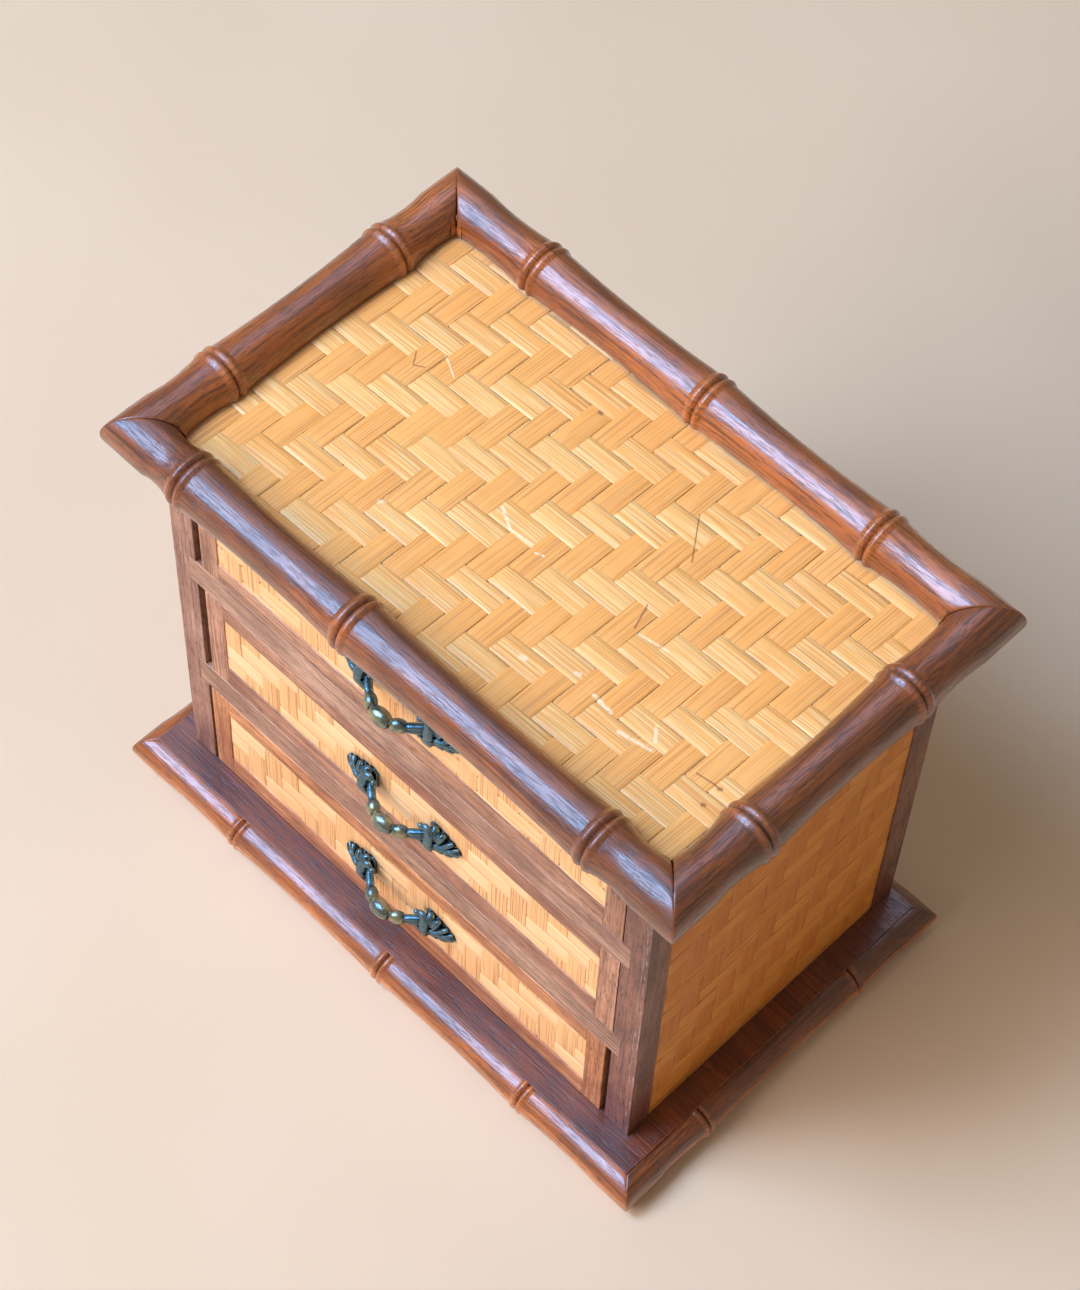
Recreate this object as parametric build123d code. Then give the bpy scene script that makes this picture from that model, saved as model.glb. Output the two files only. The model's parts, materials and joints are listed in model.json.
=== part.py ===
from build123d import *
import os

# Small three-drawer chest: corner posts, woven bamboo panels and turned faux-bamboo mouldings.
# Millimetres. Z up, front faces -Y. Origin on the floor, under the middle of the chest's box.

# Case
case_width = 230.0
case_depth = 142.0
post_width = 11.5
post_depth = 11.0
bottom_opening = 52.8
middle_opening = 52.4
top_opening = 48.6
rail_height = 13.8
rail_thickness = 8.0
rail_lap = 3.8

# Panels and the bamboo sheets glued on them
panel_thickness = 3.0
panel_tongue = 3.0
weave_thickness = 1.0
side_weave_recess = 0.6
back_panel_recess = 1.0

# Base board and its half-round moulding
base_thickness = 15.0
base_overhang_side = 10.0
base_overhang_front = 10.5
base_overhang_back = 0.5
base_waist_radius = 6.9
base_flare_radius = 7.6
base_ridge_radius = 8.2
base_groove_radius = 7.0
base_ridge_width = 2.6
base_front_nodes = (-75.3, 3.4, 76.4)
base_back_nodes = (-70.0, 0.0, 70.0)
base_left_nodes = (-40.0, 40.0)
base_right_nodes = (-40.0, 40.0)

# Top board and its round moulding
top_board_thickness = 5.6
top_board_overhang_side = 3.0
top_axis_out_side = 7.6
top_axis_out_front = 2.5
top_axis_rise = 9.1
top_waist_radius = 9.0
top_flare_radius = 10.0
top_ridge_radius = 10.9
top_groove_radius = 9.6
top_corner_radius = 9.8
top_ridge_width = 3.3
top_front_nodes = (-96.0, -17.5, 92.8)
top_back_nodes = (-79.0, 0.0, 77.6)
top_left_nodes = (-38.0, 40.0)
top_right_nodes = (-38.5, 33.8)

# Runners and guides for the drawers
runner_shelf = 6.5
guide_height = 10.0

# Drawers: free play in the opening, and how far each sits off centre
drawer_play = 2.0
drawer_shift = {"top": 1.6, "middle": 1.6, "bottom": -0.6}
drawer_gap_below = 0.4
drawer_gap_above = 0.5
drawer_rear_gap = 0.5
front_board_thickness = 8.0
strip_thickness = 2.0
side_strip_width = 9.0
bottom_strip_width = 11.0
top_strip_width = {"top": 5.0, "middle": 9.0, "bottom": 9.0}
drawer_side_thickness = 5.0
drawer_side_drop = 4.0
front_rebate = 5.0
back_thickness = 5.0
back_housing = 2.0
bottom_thickness = 2.5
bottom_groove = 2.5
bottom_rise = 3.0
lining_thickness = 1.0

# Pulls
pull_rise = {"top": 8.5, "middle": 2.0, "bottom": 2.5}
pull_span = 39.0
pull_projection = 12.4
bead_length = 8.6
bead_radius = 3.5
side_bead_length = 4.8
side_bead_radius = 3.0
bead_neck_radius = 1.7
stem_root_radius = 2.6
leaf_length = 9.6
leaf_thickness = 2.0
leaf_crown_thickness = 1.4
leaf_crown_share = 0.68
leaf_core_share = 0.42
leaf_lobe_share = 0.2
leaf_lobes = ((0, 1.0), (42, 0.88), (84, 0.78), (132, 0.72))
boss_radius = 3.4
boss_height = 6.0

# Screws
pull_screw_radius = 1.5
pull_screw_head_radius = 3.2
pull_screw_head_height = 1.8
pull_screw_grip = 4.0
screw_clearance = 0.2
base_screw_radius = 1.75
base_screw_head_radius = 3.6
base_screw_length = 32.0
base_screw_sink = 0.5

# Derived heights
case_foot = base_thickness
lower_rail_z = case_foot + bottom_opening
middle_floor = lower_rail_z + rail_height
upper_rail_z = middle_floor + middle_opening
top_floor = upper_rail_z + rail_height
case_top = top_floor + top_opening
top_axis_z = case_top + top_axis_rise
base_axis_z = base_thickness - base_ridge_radius
cover_top = case_top + top_board_thickness + weave_thickness

# Derived places in plan
half_width = case_width / 2
half_depth = case_depth / 2
front_reach = half_depth + base_overhang_front + base_ridge_radius
back_reach = half_depth + max(top_axis_out_front + top_ridge_radius, base_overhang_back + base_ridge_radius)
case_y = (front_reach - back_reach) / 2
front_y = case_y - half_depth
rear_y = case_y + half_depth
opening_half = half_width - post_width
weave_outer_x = half_width - side_weave_recess
panel_outer_x = weave_outer_x - weave_thickness
panel_inner_x = panel_outer_x - panel_thickness
back_outer_y = rear_y - back_panel_recess
back_inner_y = back_outer_y - panel_thickness
base_front_y = front_y - base_overhang_front
base_rear_y = rear_y + base_overhang_back
base_half_x = half_width + base_overhang_side
top_half_x = half_width + top_axis_out_side
top_half_y = half_depth + top_axis_out_front
board_half_x = half_width + top_board_overhang_side

# How a solid sits on its own origin: centred, and standing on it
UPRIGHT = (Align.CENTER, Align.CENTER, Align.MIN)
CORNER = (Align.MIN, Align.MIN, Align.MIN)


def span(x0, x1, y0, y1, z0, z1):
    """A block between two corners."""
    block = Box(x1 - x0, y1 - y0, z1 - z0, align=CORNER)
    return Pos(x0, y0, z0) * block


def rod(start, direction, radius, length):
    """A round bar that starts at a point and runs along a direction."""
    return Plane(origin=start, z_dir=direction) * Cylinder(radius, length, align=UPRIGHT)


def ridge_curve(start, end, crest):
    """The rounded outline of one ridge, which stands up steeply from both ends and peaks at crest."""
    control = (8 * crest - start[1] - end[1]) / 6
    return Bezier(start, (start[0], control), (end[0], control), end)


def bamboo_bar(half_length, nodes, waist, flare, ridge, groove, corner, ridge_width):
    """A turned bar along X: waisted stretches between nodes, each node a pair of round ridges."""
    start = -half_length - corner
    end = half_length + corner
    straight = 2 * corner
    outline = Line((start, 0), (start, corner))
    outline += Line((start, corner), (start + straight, corner))
    at = start + straight
    radius = corner
    for node in nodes:
        left = node - ridge_width
        right = node + ridge_width
        middle = (at + left) / 2
        outline += ThreePointArc((at, radius), (middle, waist), (left, flare))
        outline += ridge_curve((left, flare), (node, groove), ridge)
        outline += ridge_curve((node, groove), (right, flare), ridge)
        at = right
        radius = flare
    stop = end - straight
    outline += ThreePointArc((at, radius), ((at + stop) / 2, waist), (stop, corner))
    outline += Line((stop, corner), (end, corner))
    outline += Line((end, corner), (end, 0))
    outline += Line((end, 0), (start, 0))
    return revolve(Plane.XY * make_face(outline), Axis.X)


def mitre(bar, half_length, reach):
    """Cut both ends of a bar along X at 45 degrees, so that it is longest on its -Y side."""
    for side in (-1, 1):
        corner = (side * half_length, 0, 0)
        outward = (side, 1, 0)
        bar -= Plane(origin=corner, z_dir=outward) * Box(4 * reach, 4 * reach, 3 * reach, align=UPRIGHT)
    return bar


def frame_of_bars(half_x, y_front, y_rear, axis_z, node_sets, radii, ridge_width):
    """Four mitred bars round a rectangle. Returns side name: bar."""
    waist, flare, ridge, groove, corner = radii
    centre_y = (y_front + y_rear) / 2
    half_y = (y_rear - y_front) / 2
    places = {
        "front": (half_x, Pos(0, y_front, axis_z), 1),
        "right": (half_y, Pos(half_x, centre_y, axis_z) * Rot(0, 0, 90), 1),
        "back": (half_x, Pos(0, y_rear, axis_z) * Rot(0, 0, 180), -1),
        "left": (half_y, Pos(-half_x, centre_y, axis_z) * Rot(0, 0, -90), -1),
    }
    bars = {}
    for side, (half_length, place, order) in places.items():
        nodes = sorted(order * node for node in node_sets[side])
        bar = bamboo_bar(half_length, nodes, waist, flare, ridge, groove, corner, ridge_width)
        bars[side] = place * mitre(bar, half_length, ridge)
    return bars


def top_mouldings():
    """Round bars on the rim of the top, rebated over the top board."""
    radii = (top_waist_radius, top_flare_radius, top_ridge_radius, top_groove_radius, top_corner_radius)
    node_sets = {
        "front": top_front_nodes,
        "back": top_back_nodes,
        "left": top_left_nodes,
        "right": top_right_nodes,
    }
    bars = frame_of_bars(
        top_half_x,
        case_y - top_half_y,
        case_y + top_half_y,
        top_axis_z,
        node_sets,
        radii,
        top_ridge_width,
    )
    rebate = span(-board_half_x, board_half_x, front_y, rear_y, case_top, cover_top)
    rebate += span(-half_width, half_width, front_y, rear_y, case_top - top_ridge_radius, case_top)
    return {"top_moulding_" + side: bar - rebate for side, bar in bars.items()}


def base_mouldings():
    """Half-round bars on the edges of the base board, planed flat underneath."""
    corner = base_flare_radius
    radii = (base_waist_radius, base_flare_radius, base_ridge_radius, base_groove_radius, corner)
    node_sets = {
        "front": base_front_nodes,
        "back": base_back_nodes,
        "left": base_left_nodes,
        "right": base_right_nodes,
    }
    bars = frame_of_bars(
        base_half_x,
        base_front_y,
        base_rear_y,
        base_axis_z,
        node_sets,
        radii,
        base_ridge_width,
    )
    reach = base_half_x + 2 * base_ridge_radius
    board = span(-base_half_x, base_half_x, base_front_y, base_rear_y, -base_ridge_radius, base_thickness * 2)
    below = span(-reach, reach, -reach, reach, -base_ridge_radius, 0)
    return {"base_moulding_" + side: bar - board - below for side, bar in bars.items()}


def post_centres():
    """Name, x sign and y sign of each corner post."""
    return [
        ("post_front_left", -1, -1),
        ("post_front_right", 1, -1),
        ("post_rear_left", -1, 1),
        ("post_rear_right", 1, 1),
    ]


def base_screw_places():
    """Points on the underside of the base, one under each post."""
    places = []
    for name, sx, sy in post_centres():
        x = sx * (half_width - post_width / 2)
        y = case_y + sy * (half_depth - post_depth / 2)
        places.append((x, y))
    return places


def base_screw(x, y, clearance):
    """A countersunk screw that stands upright, grown by a clearance all round."""
    head_height = base_screw_head_radius - base_screw_radius
    shank_radius = base_screw_radius + clearance
    head = Cone(base_screw_head_radius + clearance, shank_radius, head_height, align=UPRIGHT)
    shank = Cylinder(shank_radius, base_screw_length, align=UPRIGHT)
    return Pos(x, y, base_screw_sink) * (head + shank)


def base_board():
    board = span(-base_half_x, base_half_x, base_front_y, base_rear_y, 0, base_thickness)
    for x, y in base_screw_places():
        board -= base_screw(x, y, screw_clearance)
        board -= rod((x, y, 0), (0, 0, 1), base_screw_head_radius + screw_clearance, base_screw_sink)
    return board


def side_panel_spans():
    """Where the side panels' edges end, inside the posts' grooves."""
    return (front_y + post_depth - panel_tongue, rear_y - post_depth + panel_tongue)


def side_panel(side):
    y0, y1 = side_panel_spans()
    inner, outer = sorted((side * panel_inner_x, side * panel_outer_x))
    return span(inner, outer, y0, y1, case_foot, case_top)


def side_weave(side):
    inner, outer = sorted((side * panel_outer_x, side * weave_outer_x))
    return span(inner, outer, front_y + post_depth, rear_y - post_depth, case_foot, case_top)


def back_panel():
    edge = opening_half + panel_tongue
    return span(-edge, edge, back_inner_y, back_outer_y, case_foot, case_top)


def rail(z):
    """A cross rail whose ends are let into the front posts."""
    edge = opening_half + rail_lap
    return span(-edge, edge, front_y, front_y + rail_thickness, z, z + rail_height)


def post(side, end):
    """A square corner post, grooved for the panels and notched for the rails."""
    x0, x1 = sorted((side * opening_half, side * half_width))
    if end < 0:
        body = span(x0, x1, front_y, front_y + post_depth, case_foot, case_top)
        body -= rail(lower_rail_z)
        body -= rail(upper_rail_z)
    else:
        body = span(x0, x1, rear_y - post_depth, rear_y, case_foot, case_top)
        body -= back_panel()
    body -= side_panel(side)
    for x, y in base_screw_places():
        if x * side > 0 and (y - case_y) * end > 0:
            body -= base_screw(x, y, 0)
    return body


def runner(side, rail_z):
    """A rebated strip behind a rail: the drawer runs on its shelf and beside its guide."""
    shelf_x0, shelf_x1 = sorted((side * (opening_half - runner_shelf), side * opening_half))
    shelf = span(shelf_x0, shelf_x1, front_y + rail_thickness, back_inner_y, rail_z, rail_z + rail_height)
    guide_x0, guide_x1 = sorted((side * opening_half, side * panel_inner_x))
    guide_top = rail_z + rail_height + guide_height
    guide = span(guide_x0, guide_x1, front_y + post_depth, rear_y - post_depth, rail_z, guide_top)
    return shelf + guide


def floor_guide(side):
    """A strip on the base board that steers the bottom drawer."""
    x0, x1 = sorted((side * opening_half, side * panel_inner_x))
    return span(x0, x1, front_y + post_depth, rear_y - post_depth, case_foot, case_foot + guide_height)


def top_board():
    return span(-board_half_x, board_half_x, front_y, rear_y, case_top, case_top + top_board_thickness)


def top_weave():
    return span(-board_half_x, board_half_x, front_y, rear_y, case_top + top_board_thickness, cover_top)


def bead(centre, direction, length, radius):
    """A barrel-shaped bead with flat necks at both ends."""
    outline = Line((-length / 2, 0), (-length / 2, bead_neck_radius))
    outline += ThreePointArc((-length / 2, bead_neck_radius), (0, radius), (length / 2, bead_neck_radius))
    outline += Line((length / 2, bead_neck_radius), (length / 2, 0))
    outline += Line((length / 2, 0), (-length / 2, 0))
    barrel = revolve(Plane.XY * make_face(outline), Axis.X)
    return Plane(origin=centre, x_dir=direction, z_dir=(0, 0, 1)) * barrel


def leaf_outline(size):
    """A lobed leaf in the XY plane that points along +X: pointed ovals that fan out from its middle."""
    outline = Circle(size * leaf_core_share)
    for angle, share in leaf_lobes:
        reach = size * share / 2
        for turn in (-angle, angle):
            outline += Rot(0, 0, turn) * Pos(reach, 0) * Ellipse(reach, size * leaf_lobe_share)
    return outline


def leaf(side):
    """One leaf end of a pull, lying on the drawer's face, with its screw boss."""
    plate = extrude(leaf_outline(leaf_length), leaf_thickness)
    crown = extrude(leaf_outline(leaf_length * leaf_crown_share), leaf_thickness + leaf_crown_thickness)
    boss = Cone(boss_radius, stem_root_radius, boss_height, align=UPRIGHT)
    lying = Plane(origin=(side * pull_span / 2, 0, 0), x_dir=(side, 0, 0), z_dir=(0, -1, 0))
    return lying * (plate + crown + boss)


def pull():
    """A cast bow pull at the origin: it lies on the XZ plane and stands out along -Y."""
    body = leaf(-1) + leaf(1)
    centre = (0, -pull_projection, 0)
    body += bead(centre, (1, 0, 0), bead_length, bead_radius)
    for side in (-1, 1):
        neck = Vector(side * bead_length / 2, -pull_projection, 0)
        root = Vector(side * pull_span / 2, -boss_height + stem_root_radius / 2, 0)
        along = (root - neck).normalized()
        outer_neck = neck + along * side_bead_length
        body += bead(tuple((neck + outer_neck) * 0.5), tuple(along), side_bead_length, side_bead_radius)
        stem_length = (root - outer_neck).length
        stem = Cone(bead_neck_radius, stem_root_radius, stem_length, align=UPRIGHT)
        body += Plane(origin=outer_neck, z_dir=along) * stem
        body += Pos(neck.X, neck.Y, neck.Z) * Sphere(bead_neck_radius)
        body += Pos(root.X, root.Y, root.Z) * Sphere(stem_root_radius)
        body -= rod((side * pull_span / 2, 0, 0), (0, -1, 0), pull_screw_radius, pull_screw_grip)
    return body


def drawer_pieces(name, floor_z, ceiling_z):
    """Every piece of one drawer, closed in its opening. Returns piece name: solid."""
    shift = drawer_shift[name]
    low = floor_z + drawer_gap_below
    high = ceiling_z - drawer_gap_above
    half = opening_half - drawer_play
    x0 = shift - half
    x1 = shift + half
    board_y = front_y + strip_thickness
    inside_y = board_y + front_board_thickness
    end_y = back_inner_y - drawer_rear_gap
    side_y = inside_y - front_rebate
    side_top = high - drawer_side_drop
    back_y = end_y - back_thickness
    lining_z = low + bottom_rise + bottom_thickness

    pull_z = (low + high) / 2 + pull_rise[name]
    face_y = board_y - weave_thickness
    screw_xs = [shift - pull_span / 2, shift + pull_span / 2]

    # Face: edge strips round a window that holds the woven sheet
    window_x0 = x0 + side_strip_width
    window_x1 = x1 - side_strip_width
    window_z0 = low + bottom_strip_width
    window_z1 = high - top_strip_width[name]
    strips = Compound(
        children=[
            span(x0, window_x0, front_y, board_y, low, high),
            span(window_x1, x1, front_y, board_y, low, high),
            span(window_x0, window_x1, front_y, board_y, low, window_z0),
            span(window_x0, window_x1, front_y, board_y, window_z1, high),
        ]
    )
    weave = span(window_x0, window_x1, face_y, board_y, window_z0, window_z1)

    # Box
    bottom = span(
        x0 + drawer_side_thickness - bottom_groove,
        x1 - drawer_side_thickness + bottom_groove,
        inside_y - bottom_groove,
        end_y,
        low + bottom_rise,
        lining_z,
    )
    back = span(
        x0 + drawer_side_thickness - back_housing,
        x1 - drawer_side_thickness + back_housing,
        back_y,
        end_y,
        lining_z,
        side_top,
    )
    side_left = span(x0, x0 + drawer_side_thickness, side_y, end_y, low, side_top)
    side_right = span(x1 - drawer_side_thickness, x1, side_y, end_y, low, side_top)
    front = span(x0, x1, board_y, inside_y, low, high)
    front -= span(x0, x0 + drawer_side_thickness, side_y, inside_y, low, side_top)
    front -= span(x1 - drawer_side_thickness, x1, side_y, inside_y, low, side_top)
    front -= bottom
    side_left = side_left - bottom - back
    side_right = side_right - bottom - back
    lining = span(
        x0 + drawer_side_thickness,
        x1 - drawer_side_thickness,
        inside_y,
        back_y,
        lining_z,
        lining_z + lining_thickness,
    )

    # Pull and its screws, which pass through the board and the woven sheet
    screws = []
    for x in screw_xs:
        hole = rod((x, inside_y, pull_z), (0, -1, 0), pull_screw_radius + screw_clearance, inside_y - front_y)
        front -= hole
        weave -= hole
        shank = rod((x, inside_y, pull_z), (0, -1, 0), pull_screw_radius, inside_y - face_y + pull_screw_grip)
        head = rod((x, inside_y, pull_z), (0, 1, 0), pull_screw_head_radius, pull_screw_head_height)
        screws.append(shank + head)
    return {
        "front": front,
        "strips": strips,
        "weave": weave,
        "side_left": side_left,
        "side_right": side_right,
        "back": back,
        "bottom": bottom,
        "lining": lining,
        "pull": Pos(shift, face_y, pull_z) * pull(),
        "pull_screws": Compound(children=screws),
    }


def chest():
    """Node name: solid, for the whole chest."""
    nodes = {"base_board": base_board()}
    nodes.update(base_mouldings())
    for name, side, end in post_centres():
        nodes[name] = post(side, end)
    nodes["rail_lower"] = rail(lower_rail_z)
    nodes["rail_upper"] = rail(upper_rail_z)
    nodes["back_panel"] = back_panel()
    nodes["top_board"] = top_board()
    nodes["top_weave"] = top_weave()
    nodes.update(top_mouldings())
    for side, word in ((-1, "left"), (1, "right")):
        nodes["side_panel_" + word] = side_panel(side)
        nodes["side_weave_" + word] = side_weave(side)
        nodes["runner_lower_" + word] = runner(side, lower_rail_z)
        nodes["runner_upper_" + word] = runner(side, upper_rail_z)
        nodes["floor_guide_" + word] = floor_guide(side)
    screws = [base_screw(x, y, 0) for x, y in base_screw_places()]
    nodes["base_screws"] = Compound(children=screws)

    # The top drawer also has to pass under the ridges of the front moulding
    under_ridges = min(case_top, top_axis_z - top_ridge_radius)
    openings = {
        "bottom": (case_foot, lower_rail_z),
        "middle": (middle_floor, upper_rail_z),
        "top": (top_floor, under_ridges),
    }
    for name, (floor_z, ceiling_z) in openings.items():
        for piece, solid in drawer_pieces(name, floor_z, ceiling_z).items():
            nodes["drawer_" + name + "_" + piece] = solid
    return nodes


os.makedirs("parts", exist_ok=True)
for node, shape in chest().items():
    export_step(shape, "parts/" + node + ".step")
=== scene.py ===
import itertools
import json
import math
import random
import zlib

import bmesh
import bpy
import numpy as np
from mathutils import Matrix, Vector, noise


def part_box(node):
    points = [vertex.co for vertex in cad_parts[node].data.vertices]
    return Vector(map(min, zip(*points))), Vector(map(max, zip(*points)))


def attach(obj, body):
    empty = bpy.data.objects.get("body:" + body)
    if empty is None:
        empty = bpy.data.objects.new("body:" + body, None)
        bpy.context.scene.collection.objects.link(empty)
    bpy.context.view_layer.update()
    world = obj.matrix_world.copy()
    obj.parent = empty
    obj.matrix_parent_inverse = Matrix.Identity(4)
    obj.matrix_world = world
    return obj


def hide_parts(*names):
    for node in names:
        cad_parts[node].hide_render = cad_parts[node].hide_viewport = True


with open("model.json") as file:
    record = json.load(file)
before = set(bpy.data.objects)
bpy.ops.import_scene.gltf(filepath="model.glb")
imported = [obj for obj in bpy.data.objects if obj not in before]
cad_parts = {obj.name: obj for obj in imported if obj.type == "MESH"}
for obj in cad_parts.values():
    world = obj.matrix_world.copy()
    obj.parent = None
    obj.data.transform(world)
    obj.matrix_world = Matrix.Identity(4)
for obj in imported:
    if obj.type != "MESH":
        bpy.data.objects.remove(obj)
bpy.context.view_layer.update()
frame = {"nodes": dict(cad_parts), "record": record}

# The small chest: turned faux-bamboo mouldings, woven bamboo sheets, bronze pulls.
# Lengths are metres. Z up, front faces -Y.
MM = 0.001

# Camera: the photograph's own viewpoint, for a picture of 1080 by 1290
CAMERA_PLACE = (0.40332, -0.44521, 1.07397)
CAMERA_TURN = (32.6104, -1.6913, 44.9661)
CAMERA_LENS = 107.14
CAMERA_SENSOR = 36.0

# Turned bars of the top and of the base
TOP_BAR = {
    "waist": 9.0 * MM,
    "flare": 10.0 * MM,
    "ridge": 10.9 * MM,
    "groove": 9.6 * MM,
    "corner": 9.8 * MM,
    "ridge_width": 3.3 * MM,
}
TOP_NODES = {
    "front": (-96.0, -17.5, 92.8),
    "back": (-79.0, 0.0, 77.6),
    "left": (-38.0, 40.0),
    "right": (-38.5, 33.8),
}
BASE_BAR = {
    "waist": 6.9 * MM,
    "flare": 7.6 * MM,
    "ridge": 8.2 * MM,
    "groove": 7.0 * MM,
    "corner": 7.6 * MM,
    "ridge_width": 2.6 * MM,
}
BASE_NODES = {
    "front": (-75.3, 3.4, 76.4),
    "back": (-70.0, 0.0, 70.0),
    "left": (-40.0, 40.0),
    "right": (-40.0, 40.0),
}
MITRE_STEPS = (2.4 * MM, 1.2 * MM, 0.6 * MM, 0.3 * MM, 0.15 * MM, 0.0)
RIDGE_REACH = 1.3
RIDGE_TOP = 0.42
MITRE_ROUND = 0.3 * MM
SEAM = 0.12 * MM

# Flat wooden pieces
EDGE_EASE = 0.35 * MM
FLAT_ANGLE = math.radians(1)
SHARP_ANGLE = math.radians(35)
CHIPPED_POST = "post_front_right"

# Woven bamboo
PITCH = 9.52 * MM
STRIP_THICKNESS = 0.36 * MM
STRIP_FIBRES = 9
BACKING_GAP = 0.02 * MM
FACE_LIFT = 0.5 * MM
# For each sheet: a column's edge, a row's edge, the lean of columns and of rows, and the rise of a
# strip over its neighbours. Lengths are in millimetres.
WEAVES = {
    "top_weave": (-105.9, 27.3, 0.02, 0.0304, 0.2),
    "side_weave_right": (-20.2, 142.8, 0.0, 0.012, 0.14),
    "side_weave_left": (-14.0, 139.0, 0.01, -0.01, 0.14),
    "drawer_top_weave": (45.0, 170.3, 0.0, -0.006, 0.1),
    "drawer_middle_weave": (60.6, 108.3, 0.0, -0.006, 0.1),
    "drawer_bottom_weave": (49.0, 45.6, 0.0, -0.006, 0.1),
}

# Beyond this distance in front of the middle of the chest a pull is rubbed to brass
BRASS_FROM = 75.5 * MM

# Studio: name, place, size, power, colour, and the rays that do not see the panel
LIGHTS = (
    ("window", (-0.90, -1.02, 2.05), (0.95, 1.2), 52.0, (0.66, 0.82, 1.0), "visible_glossy"),
    ("low_window", (-0.72, -1.97, 1.25), (1.6, 1.0), 42.0, (1.0, 0.84, 0.68), "visible_glossy"),
    ("window_sheen", (-0.90, -1.02, 2.05), (1.1, 1.5), 150.0, (0.25, 0.56, 1.0), "visible_diffuse"),
    ("sky_sheen", (-0.72, 0.70, 1.95), (1.5, 1.2), 9.0, (0.50, 0.66, 1.0), "visible_diffuse"),
)
LIGHT_AIM = (0, 0, 0.1)
SURROUND_COLOUR = (1.0, 0.80, 0.58, 1.0)
SURROUND_STRENGTH = 0.32
FLOOR_HALF = 4.0
FLOOR_DROP = 0.05 * MM

# Marks on the top sheet, in millimetres from its middle: start, end, width
PALE_SCRATCHES = (
    ((-19.4, -5.8), (-14.7, -8.4), 1.5),
    ((-14.7, -8.4), (-11.3, -10.2), 1.3),
    ((-11.3, -10.2), (-1.8, -9.3), 1.0),
    ((1.3, -11.0), (4.0, -9.9), 1.1),
    ((47.0, -9.2), (57.8, -7.2), 1.0),
    ((53.0, -36.3), (61.2, -37.0), 1.7),
    ((68.0, -40.4), (80.1, -37.7), 1.9),
    ((74.7, -30.2), (78.8, -35.0), 1.4),
    ((26.6, -42.8), (27.8, -42.4), 2.4),
    ((43.2, -34.5), (44.2, -34.1), 2.0),
    ((-49.2, -33.6), (-48.2, -32.4), 1.8),
    ((-77.6, 24.6), (-68.8, 19.9), 0.7),
)
DARK_HAIRLINES = (
    ((28.0, 39.1), (39.5, 23.3), 0.6),
    ((40.9, 0.9), (44.2, -8.5), 0.7),
    ((-85.8, 18.5), (-82.4, 13.8), 0.6),
    ((-82.4, 13.8), (-79.0, 15.8), 0.6),
    ((95.7, -33.6), (104.5, -32.2), 0.7),
    ((104.4, -32.6), (104.9, -32.4), 1.8),
    ((104.7, -40.6), (105.1, -40.4), 1.8),
    ((-24.4, 45.4), (-23.6, 45.4), 1.8),
)


def srgb(red, green, blue):
    """A colour as it looks on screen, 0 to 255, as the linear colour that a shader takes."""
    linear = []
    for part in (red, green, blue):
        share = part / 255
        linear.append(share / 12.92 if share <= 0.04045 else ((share + 0.055) / 1.055) ** 2.4)
    return (*linear, 1.0)


def seed_of(name):
    return zlib.crc32(name.encode())


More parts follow.
